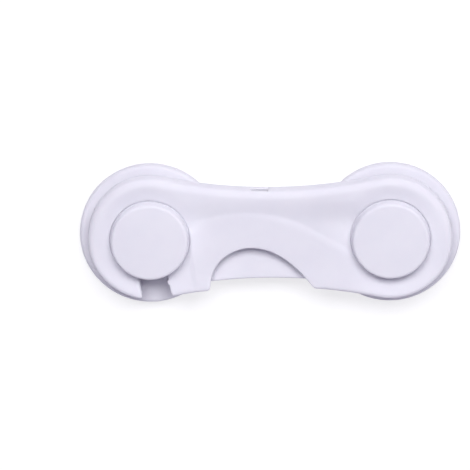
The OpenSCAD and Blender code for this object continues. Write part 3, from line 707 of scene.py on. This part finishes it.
def buildRearCover(s):
    # The bone's outline, drawn in, with the slot: a rounded back edge, the wall and the rim inside the skirt,
    # down again to the floor. Flat lids close back and floor round the pivot's bore and the screw seats.
    loop, owner = rearLoop(s, s["inset"], 0, s["corner"])
    inner, _ = rearLoop(s, s["inset"] + s["rimT"], s["slotT"], s["innerCorner"])
    inward = loopNormals(loop)
    x, y = loop.T
    cut = owner != boneLine
    for facing, (west, east) in ((-y, s["moonSpan"]), (y, s["tailSpan"])):
        cut |= (facing > 0) & (x > west) & (x < east)
    top = np.where(cut, s["cutZ"], arm["rimZ"])
    radius = ringMean(np.where(owner == boneLine, s["backEdge"], s["slotEdge"]), s["evenOut"])
    rings = []
    for turn in np.linspace(0, math.pi / 2, s["fillet"]):
        rings.append(withHeight(loop + inward * (radius * (1 - math.sin(turn)))[:, None],
                                arm["backZ"] + radius * (1 - math.cos(turn))))
    rings += [withHeight(loop, top - s["rimEdge"]), withHeight(loop + inward * s["rimEdge"], top),
              withHeight(inner, top), withHeight(inner, arm["floorZ"])]
    bore, ring = [circle(pivot, r, s["boreCount"]) for r in (arm["boreR"], arm["sleeveR"])]
    tube = [withHeight(ring, arm["backZ"]), withHeight(ring, s["ringZ"]), withHeight(bore, s["ringZ"]),
            withHeight(bore, arm["floorZ"])]
    parts = [ringGrid(np.stack(rings)), ringGrid(np.stack(tube))]
    backHoles, floorHoles = [ring], [bore]
    for at in s["screws"]:
        head, hole = [circle(at, r, s["screwCount"]) for r in (s["headR"], s["passR"])]
        deep = arm["backZ"] + s["headH"]
        parts.append(ringGrid(np.stack([withHeight(head, arm["backZ"]), withHeight(head, deep),
                                        withHeight(hole, deep), withHeight(hole, arm["floorZ"])])))
        backHoles.append(head)
        floorHoles.append(hole)
    parts.append(lid(rings[0][:, :2], backHoles, level(arm["backZ"])))
    parts.append(lid(inner, floorHoles, level(arm["floorZ"])))
    return parts


rearCover = makePiece("rear_shell", buildRearCover(rearSet), coverPlastic)
seat(rearCover, "arm", "white_plastic", "rear_cover")


# trigger

# the wing has its west, south and north sides
triggerSet = dict(low=6.1, high=8.1, left=-17.3, right=12.2, stopLeft=-15.7, stopRight=10.6, top=1.5,
                  fingerIn=1.75, fingerCount=60, endIn=2.5, cornerR=0.8, stopR=0.25, lowEdge=0.25, edge=0.45,
                  overlap=0.5, dish=0.65, dishReach=7.0, dishSides=(0.5, 3), dishGrain=0.5,
                  tailX=-2.76, tailW=4.6, tailLow=6.55, tailTop=12.5, tailR=0.35, tailEdge=0.2, knobL=1.0,
                  knobTop=9.6, knobEdge=0.15, wing=(-25.38, -10.03, -4.13), wingHigh=7.3, wingR=0.6,
                  thinEdge=0.12, camR=0.95, camCount=16, travel=(3.0, -2.4), pegR=0.55, pegL=1.5, pegEdge=0.2,
                  pegCount=24)


def buildTrigger(s):
    # The finger plate's outline follows the arm's lower edge, and a parabola dishes its face behind that edge.
    # The wing with its slanted cam slot, the guide tail, its knob and two spring pegs are slabs and spins of
    # their own that run into it.
    x = np.linspace(s["stopLeft"], s["stopRight"], s["fingerCount"])
    finger = np.column_stack([x, -waistY(x, s["fingerIn"])])

    def end(at):
        # A corner of the plate's ends, which lie a little further in.
        return (at, -float(waistY(at, s["endIn"])))

    corners = np.vstack([(s["left"], s["top"]), end(s["left"]), end(s["stopLeft"]), finger,
                         end(s["stopRight"]), end(s["right"]), (s["right"], s["top"])])
    radii = np.zeros(len(corners))
    radii[[0, 1, -2, -1]] = s["cornerR"]
    radii[[3, -4]] = s["stopR"]
    plate = rounded(corners, radii)

    def dish(x, y):
        # Depth behind the finger's edge, fading out towards the other sides.
        u = np.clip((y + waistY(x, s["fingerIn"] + s["edge"])) / s["dishReach"], 0, 1)
        sides = np.minimum(np.minimum(x - s["left"], s["right"] - x), s["top"] - y)
        return s["dish"] * (2 * u - u * u) * smooth(*s["dishSides"], sides)

    parts = slab(plate, s["low"], s["high"], s["lowEdge"], s["edge"], bowl=dish, grain=s["dishGrain"])
    west, south, north = s["wing"]
    wing = rounded(oblong(west, south, s["left"] + s["overlap"], north), (s["wingR"], 0, 0, s["wingR"]))
    run = np.array(s["travel"])
    turn = math.degrees(math.atan2(run[1], run[0]))
    start = np.array(arm["catchPeg"])
    cam = np.concatenate([arc(start + run, s["camR"], turn - 90, turn + 90, s["camCount"]),
                          arc(start, s["camR"], turn + 90, turn + 270, s["camCount"])])
    parts += slab(wing, s["low"], s["wingHigh"], s["thinEdge"], s["thinEdge"], [cam])
    wide, inside = s["tailW"] / 2, s["top"] - s["overlap"]
    for begin, high, edge in ((inside, s["high"], s["tailEdge"]),
                              (s["tailTop"] - s["knobL"], s["knobTop"], s["knobEdge"])):
        tail = oblong(s["tailX"] - wide, begin, s["tailX"] + wide, s["tailTop"])
        parts += slab(rounded(tail, (0, 0, s["tailR"], s["tailR"])), s["tailLow"], high, s["thinEdge"], edge)
    pegEnd = s["pegL"] + s["overlap"]
    profile = rounded([(0, 0), (s["pegR"], 0), (s["pegR"], pegEnd), (0, pegEnd)], (0, 0, s["pegEdge"], 0),
                      closed=False)
    verts, cells = spin(profile, (0, 0), s["pegCount"])
    for at in arm["springX"]:
        peg = np.column_stack([at + verts[:, 0], inside + verts[:, 2], arm["springZ"] + verts[:, 1]])
        parts.append((peg, cells))
    return parts


trigger = makePiece("trigger_plate", buildTrigger(triggerSet), triggerPlastic)
seat(trigger, "trigger", "white_plastic", "trigger")


# bases, caps and foam discs

baseSet = dict(low=1.0, high=4.2, radius=18.5, edge=1.0, lowEdge=0.3, postR=3.5, postTop=11.35, postFoot=0.5,
               postEdge=0.15, pocketR=2.2, pocketTop=3.0, pocketEdge=0.15, boreEdge=0.1, passR=1.1, webTop=5.0,
               steps=9, count=192)


def buildBase(s, at):
    # One profile carried round the post: disc with a rounded front edge, post, bore, web and screw pocket.
    # Each corner is given by radius, height and rounding.
    corners = np.array([(s["pocketR"], s["low"], s["pocketEdge"]), (s["radius"], s["low"], s["lowEdge"]),
                        (s["radius"], s["high"], s["edge"]), (s["postR"], s["high"], s["postFoot"]),
                        (s["postR"], s["postTop"], s["postEdge"]), (s["pocketR"], s["postTop"], s["boreEdge"]),
                        (s["pocketR"], s["webTop"], 0), (s["passR"], s["webTop"], 0),
                        (s["passR"], s["pocketTop"], 0), (s["pocketR"], s["pocketTop"], 0)])
    profile = rounded(corners[:, :2], corners[:, 2], s["steps"])
    return [spin(np.concatenate([profile, profile[:1]]), at, s["count"])]


capSet = dict(low=11.35, high=14.25, radius=9.9, flare=0.5, edge=0.8, lowEdge=0.15, crown=0.1,
              crownAt=(4.0, 0.02), crownR=30.0, spigotR=2.15, spigotLow=5.0, spigotEdge=0.2, pilotR=1.0,
              pilotTop=10.5, pilotEdge=0.1, steps=12, count=192)


def buildCap(s, at):
    # A disc with a sloping side, a rounded edge and a slight crown, carried round the post with its spigot and
    # blind hole. Each corner is given by radius, height and rounding.
    flatR, sag = s["crownAt"]
    corners = np.array([(0, s["pilotTop"], 0), (s["pilotR"], s["pilotTop"], s["pilotEdge"]),
                        (s["pilotR"], s["spigotLow"], s["pilotEdge"]),
                        (s["spigotR"], s["spigotLow"], s["spigotEdge"]),
                        (s["spigotR"], s["low"], s["spigotEdge"]),
                        (s["radius"] + s["flare"], s["low"], s["lowEdge"]),
                        (s["radius"], s["high"] - s["crown"], s["edge"]),
                        (flatR, s["high"] - sag, s["crownR"]), (0, s["high"], 0)])
    return [spin(rounded(corners[:, :2], corners[:, 2], s["steps"], closed=False), at, s["count"])]


padSet = dict(radius=17.5, thick=1.0, bulge=0.12, bulgePower=0.6, ripple=0.015, rippleTurn=1.7, rows=40,
              sideRows=13, count=160, sharp=60)


def buildPad(s, at):
    # A foam disc: faces that ripple a little, as a cosine of the radius, and a side that bulges as a power of a
    # sine over the thickness.
    height = np.linspace(0, 1, s["sideRows"])[:, None]
    bulge = s["bulge"] * np.sin(math.pi * height) ** s["bulgePower"]
    side = np.hstack([s["radius"] - s["bulge"] + bulge, height * s["thick"]])
    inR = np.linspace(side[0, 0], 0, s["rows"])[1:, None]
    fall = s["ripple"] * (1 - np.cos(inR * s["rippleTurn"]))
    topFace = np.hstack([inR, s["thick"] - fall])
    lowFace = np.hstack([inR, fall])[::-1]
    return [spin(np.concatenate([lowFace, side, topFace]), at, s["count"])]


for label, at in (("latch", latch), ("pivot", pivot)):
    base = makePiece(label + "_foot", buildBase(baseSet, at), basePlastic)
    seat(base, "bases", "white_plastic", label + "_base")
    cap = makePiece(label + "_button", buildCap(capSet, at), capPlastic)
    seat(cap, "bases", "white_plastic", label + "_cap")
    pad = makePiece(label + "_foam", buildPad(padSet, at), foamTape, padSet["sharp"])
    seat(pad, "bases", "foam_tape", label + "_pad")


# screws, catch leaf and springs

# the dome's rows have shares of the head's radius and a count, the cross where its edges start and end
screwSet = dict(shankR=0.95, rootR=0.8, pitch=0.8, crest=2.2, tip=1.0, taper=0.75, plain=0.3, rows=110,
                count=48, headR=1.8, rimShare=0.45, domeSag=0.55, domePower=4, domeOuter=(1, 0.62, 10),
                domeInner=(0.6, 0.02, 30), cross=(0.31, 0.23), crossL=(1.05, 0.9), crossDeep=0.5, sharp=40)
screwKinds = dict(cover=dict(headH=0.8, length=3.3), cap=dict(headH=1.2, length=7.0))


def buildScrew(s, kind, at, seatZ):
    # The shank is a grid of turn and height whose radius saws in and out along a helix and tapers to a point;
    # the head is a low dome with a cross pressed into it.
    headH, length = kind["headH"], kind["length"]
    turn = np.linspace(0, 2 * math.pi, s["count"], endpoint=False)[None, :]
    z = np.linspace(0, length, s["rows"])[:, None]
    wave = np.abs(((z / s["pitch"] - turn / (2 * math.pi)) % 1) * 2 - 1)
    ridge = np.clip(wave * s["crest"] - (s["crest"] - 1), 0, 1) * (z > s["plain"])
    radius = s["rootR"] + (s["shankR"] - s["rootR"]) * ridge
    radius = radius * (1 - s["taper"] * smooth(length - s["tip"], length, z))
    shank = np.stack([at[0] + radius * np.cos(turn), at[1] + radius * np.sin(turn),
                      np.broadcast_to(seatZ + z, radius.shape)], -1)
    seatRing = withHeight(circle(at, s["headR"], s["count"]), seatZ)[None]
    rimRing = withHeight(circle(at, s["headR"], s["count"]), seatZ - s["rimShare"] * headH)[None]
    reach = np.concatenate([np.linspace(*s["domeOuter"]), np.linspace(*s["domeInner"])])[:, None] * s["headR"]
    px, py = reach * np.cos(turn), reach * np.sin(turn)
    dome = headH * (1 - s["domeSag"] * (reach / s["headR"]) ** s["domePower"])

    def groove(across, along):
        # One bar of the cross: 1 within its width and length, eased at its sides.
        return smooth(*s["cross"], np.abs(across)) * smooth(*s["crossL"], np.abs(along))

    sink = np.maximum(groove(px, py), groove(py, px)) * s["crossDeep"]
    head = np.stack([at[0] + px, at[1] + py, seatZ - dome + sink], -1)
    eye, point = [np.broadcast_to(np.array([at[0], at[1], height]), (1, s["count"], 3))
                  for height in (seatZ - headH + s["crossDeep"], seatZ + length)]
    return [ringGrid(np.concatenate([eye, head[::-1], rimRing, seatRing, shank, point]))]


coverScrewParts = []
for at in rearSet["screws"]:
    coverScrewParts += buildScrew(screwSet, screwKinds["cover"], at, arm["backZ"] + rearSet["headH"])
coverScrews = makePiece("shell_screws", coverScrewParts, zincScrew, screwSet["sharp"])
seat(coverScrews, "arm", "zinc_screw", "cover_screws")
for label, at in (("latch", latch), ("pivot", pivot)):
    screwParts = buildScrew(screwSet, screwKinds["cap"], at, baseSet["pocketTop"])
    screw = makePiece(label + "_button_screw", screwParts, zincScrew, screwSet["sharp"])
    seat(screw, "bases", "zinc_screw", label + "_cap_screw")

leafSet = dict(low=7.5, high=8.8, foot=(-20.2, 7.2), footSize=(4.4, 3.4), footR=0.4, pinR=1.05, edge=0.15,
               stripT=0.9, stripEdge=0.1, back=-22.83, noseY=-3.75, noseLow=-8.0, wall=-27.75, tip=-30.75,
               face=0.85, noseRadii=(0.2, 0.3, 0.3, 0.3, 0.2), pegR=0.8, pegLow=6.1, pegIn=0.3, pegEdge=0.05,
               roundCount=32, drawnBack=0.467, anchorX=-18.0)


def buildLeaf(s):
    # Foot, strip, nose and peg as rounded slabs that run into each other.
    fx, fy = s["foot"]
    wx, wy = s["footSize"][0] / 2, s["footSize"][1] / 2
    foot = rounded(oblong(fx - wx, fy - wy, fx + wx, fy + wy), s["footR"])
    pin = circle(s["foot"], s["pinR"], s["roundCount"])
    parts = slab(foot, arm["floorZ"], s["high"], s["edge"], s["edge"], [pin])
    start = np.array([fx - wx + s["stripT"], fy - wy + s["stripT"]])
    stop = np.array([s["back"] - s["stripT"] / 2, s["noseY"] - s["stripT"]])
    way = (stop - start) / np.linalg.norm(stop - start)
    side = np.array([way[1], -way[0]]) * s["stripT"] / 2
    strip = rounded([stop + side, stop - side, start - side, start + side], s["stripEdge"])
    parts += slab(strip, s["low"], s["high"], s["stripEdge"], s["stripEdge"])
    nose = [(s["back"], s["noseY"]), (s["tip"], s["noseY"]), (s["tip"], s["noseY"] - s["face"]),
            (s["wall"], s["noseLow"]), (s["back"], s["noseLow"])]
    parts += slab(rounded(nose, s["noseRadii"]), s["low"], s["high"], s["edge"], s["edge"])
    peg = circle(arm["catchPeg"], s["pegR"], s["roundCount"])
    return parts + slab(peg, s["pegLow"], s["low"] + s["pegIn"], s["edge"], s["pegEdge"])


leaf = makePiece("catch_leaf", buildLeaf(leafSet), leafAcetal)
seat(leaf, "arm", "natural_acetal", "latch_leaf")
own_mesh(leaf)

springSet = dict(wireR=0.2, coilR=1.0, turns=9, turnCount=32, wireCount=12, low=1.75, rimIn=2.45, gap=0.05,
                 press=2.4, sharp=60)


def springTop(s, at):
    # Where a spring ends under the arm's rim.
    return float(waistY(at, s["rimIn"])) - s["wireR"] - s["gap"]


def buildSpring(s, at):
    # A round wire carried along a helix that climbs evenly along y.
    t = np.linspace(0, 1, s["turns"] * s["turnCount"] + 1)
    turn = 2 * math.pi * s["turns"] * t
    y = s["low"] + (springTop(s, at) - s["low"]) * t
    line = np.column_stack([at + s["coilR"] * np.cos(turn), y, arm["springZ"] + s["coilR"] * np.sin(turn)])
    way = np.gradient(line, axis=0)
    way /= np.linalg.norm(way, axis=1)[:, None]
    out = np.column_stack([np.cos(turn), np.zeros_like(turn), np.sin(turn)])
    up = np.cross(way, out)
    around = np.linspace(0, 2 * math.pi, s["wireCount"], endpoint=False)[None, :, None]
    rings = line[:, None] + s["wireR"] * (np.cos(around) * out[:, None] + np.sin(around) * up[:, None])
    first, last = [np.broadcast_to(line[k], (1, s["wireCount"], 3)) for k in (0, -1)]
    return [ringGrid(np.concatenate([first, rings, last]))]


for label, at in zip(("left", "right"), arm["springX"]):
    spring = makePiece("trigger_spring_" + label, buildSpring(springSet, at), springWire, springSet["sharp"])
    seat(spring, "arm", "spring_wire", "trigger_springs")
    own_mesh(spring)
print("pieces made")


# floor, light and camera

stageSet = dict(size=6.0, floor=(164, 164, 166), floorDeep=(163, 163, 165), cloth=(40, 2, 0.5),
                bounce=(228, 227, 230), glow=0.7, sky=0.1, skyTint=(1.0, 0.82, 1.55, 1.0))
# power in watts, lengths in metres
lampSet = dict(key_softbox=dict(power=39.5, tilt=31.0, turn=2.0, far=2.0, wide=1.8, high=0.8),
               top_strip=dict(power=3.0, tilt=82.0, turn=0.0, far=2.0, wide=3.0, high=0.4),
               left_strip=dict(power=0.8, tilt=80.0, turn=-90.0, far=2.0, wide=2.0, high=0.4),
               right_strip=dict(power=8.5, tilt=80.0, turn=90.0, far=2.0, wide=2.0, high=0.4),
               low_fill=dict(power=8.6, tilt=60.0, turn=180.0, far=2.0, wide=2.0, high=0.4))
white = (1, 1, 1, 1)


def sightOf(tree):
    # 1 for rays that see a surface, directly or in a gloss or through glass, and 0 for rays that gather light.
    path = addNode(tree, "ShaderNodeLightPath")
    seen = path.outputs["Is Camera Ray"]
    for other in ("Is Glossy Ray", "Is Transmission Ray"):
        seen = addNode(tree, "ShaderNodeMath", {0: seen, 1: path.outputs[other]}, "MAXIMUM").outputs[0]
    return seen


def buildFloor(s):
    # A square of pale floor at the furniture's face, seen from above only. Where it is seen its colour is
    # darker and a glow is added, so that it is white and its shadow faint.
    material, tree, shader = newMaterial("studio_floor")
    seen = sightOf(tree)
    cloth = blendColours(tree, noiseOn(tree, *s["cloth"]), linear(*s["floor"]), linear(*s["floorDeep"]))
    colour = blendColours(tree, seen, linear(*s["bounce"]), cloth)
    strength = addNode(tree, "ShaderNodeMath", {0: seen, 1: s["glow"]}, "MULTIPLY")
    diffuse = addNode(tree, "ShaderNodeBsdfDiffuse", {"Color": colour})
    glow = addNode(tree, "ShaderNodeEmission", {"Color": white, "Strength": strength.outputs[0]})
    both = addNode(tree, "ShaderNodeAddShader", {0: diffuse.outputs[0], 1: glow.outputs[0]})
    clear = addNode(tree, "ShaderNodeBsdfTransparent")
    face = addNode(tree, "ShaderNodeNewGeometry")
    mix = addNode(tree, "ShaderNodeMixShader", {0: face.outputs["Backfacing"], 1: both.outputs[0],
                                                2: clear.outputs[0]})
    tree.nodes.remove(shader)
    tree.links.new(mix.outputs[0], tree.nodes["Material Output"].inputs["Surface"])
    reach = s["size"] / 2
    mesh = bpy.data.meshes.new("studio_floor")
    mesh.from_pydata([(x, y, 0) for x, y in oblong(-reach, -reach, reach, reach)], [], [(0, 1, 2, 3)])
    mesh.materials.append(material)
    floor = bpy.data.objects.new("studio_floor", mesh)
    bpy.context.scene.collection.objects.link(floor)


def buildSky(s):
    # A plain white surround: full white where it is seen, dimmer and slightly tinted as light.
    world = bpy.data.worlds.new("studio_sky")
    bpy.context.scene.world = world
    world.use_nodes = True
    tree = world.node_tree
    seen = sightOf(tree)
    feed(tree, tree.nodes["Background"], {"Color": blendColours(tree, seen, s["skyTint"], white),
                                          "Strength": spread(tree, seen, (0, 1), (s["sky"], 1.0))})


def addLamp(name, s):
    # A soft rectangle that faces the object, tilted from upright towards +Y and then turned about upright.
    data = bpy.data.lights.new(name, "AREA")
    data.shape = "RECTANGLE"
    data.size, data.size_y = s["wide"], s["high"]
    data.energy = s["power"]
    tilt, turn = math.radians(s["tilt"]), math.radians(s["turn"])
    way = Vector((math.sin(tilt) * math.sin(turn), math.sin(tilt) * math.cos(turn), math.cos(tilt)))
    lamp = bpy.data.objects.new(name, data)
    lamp.location = way * s["far"]
    lamp.rotation_mode = "QUATERNION"
    lamp.rotation_quaternion = (-way).to_track_quat("-Z", "Y")
    bpy.context.scene.collection.objects.link(lamp)


buildFloor(stageSet)
buildSky(stageSet)
for name, lamp in lampSet.items():
    addLamp(name, lamp)
print("floor, sky and", len(lampSet), "lamps made")

cameraSet = dict(tilt=13.5, far=1170.0, width=123.7, centreX=-9.24, aimY=-0.778, aimZ=2.5, roll=-0.31,
                 sensor=36.0, clip=(0.01, 100))


def addCamera(s):
    # A long lens above the arm's front, leaning towards its upper edge; the shift frames it as printed.
    data = bpy.data.cameras.new("camera")
    data.sensor_width = s["sensor"]
    data.lens = s["sensor"] * s["far"] / s["width"]
    data.shift_x = s["centreX"] / s["width"]
    data.clip_start, data.clip_end = s["clip"]
    tilt = math.radians(s["tilt"])
    back = Vector((0, math.sin(tilt), math.cos(tilt)))
    camera = bpy.data.objects.new("camera", data)
    camera.location = Vector((0, s["aimY"] * mm, s["aimZ"] * mm)) + back * s["far"] * mm
    camera.rotation_mode = "ZYX"
    camera.rotation_euler = (-tilt, 0, math.radians(s["roll"]))
    bpy.context.scene.collection.objects.link(camera)
    bpy.context.scene.camera = camera


addCamera(cameraSet)
bpy.context.scene.view_settings.view_transform = "Standard"
print("scene ready")
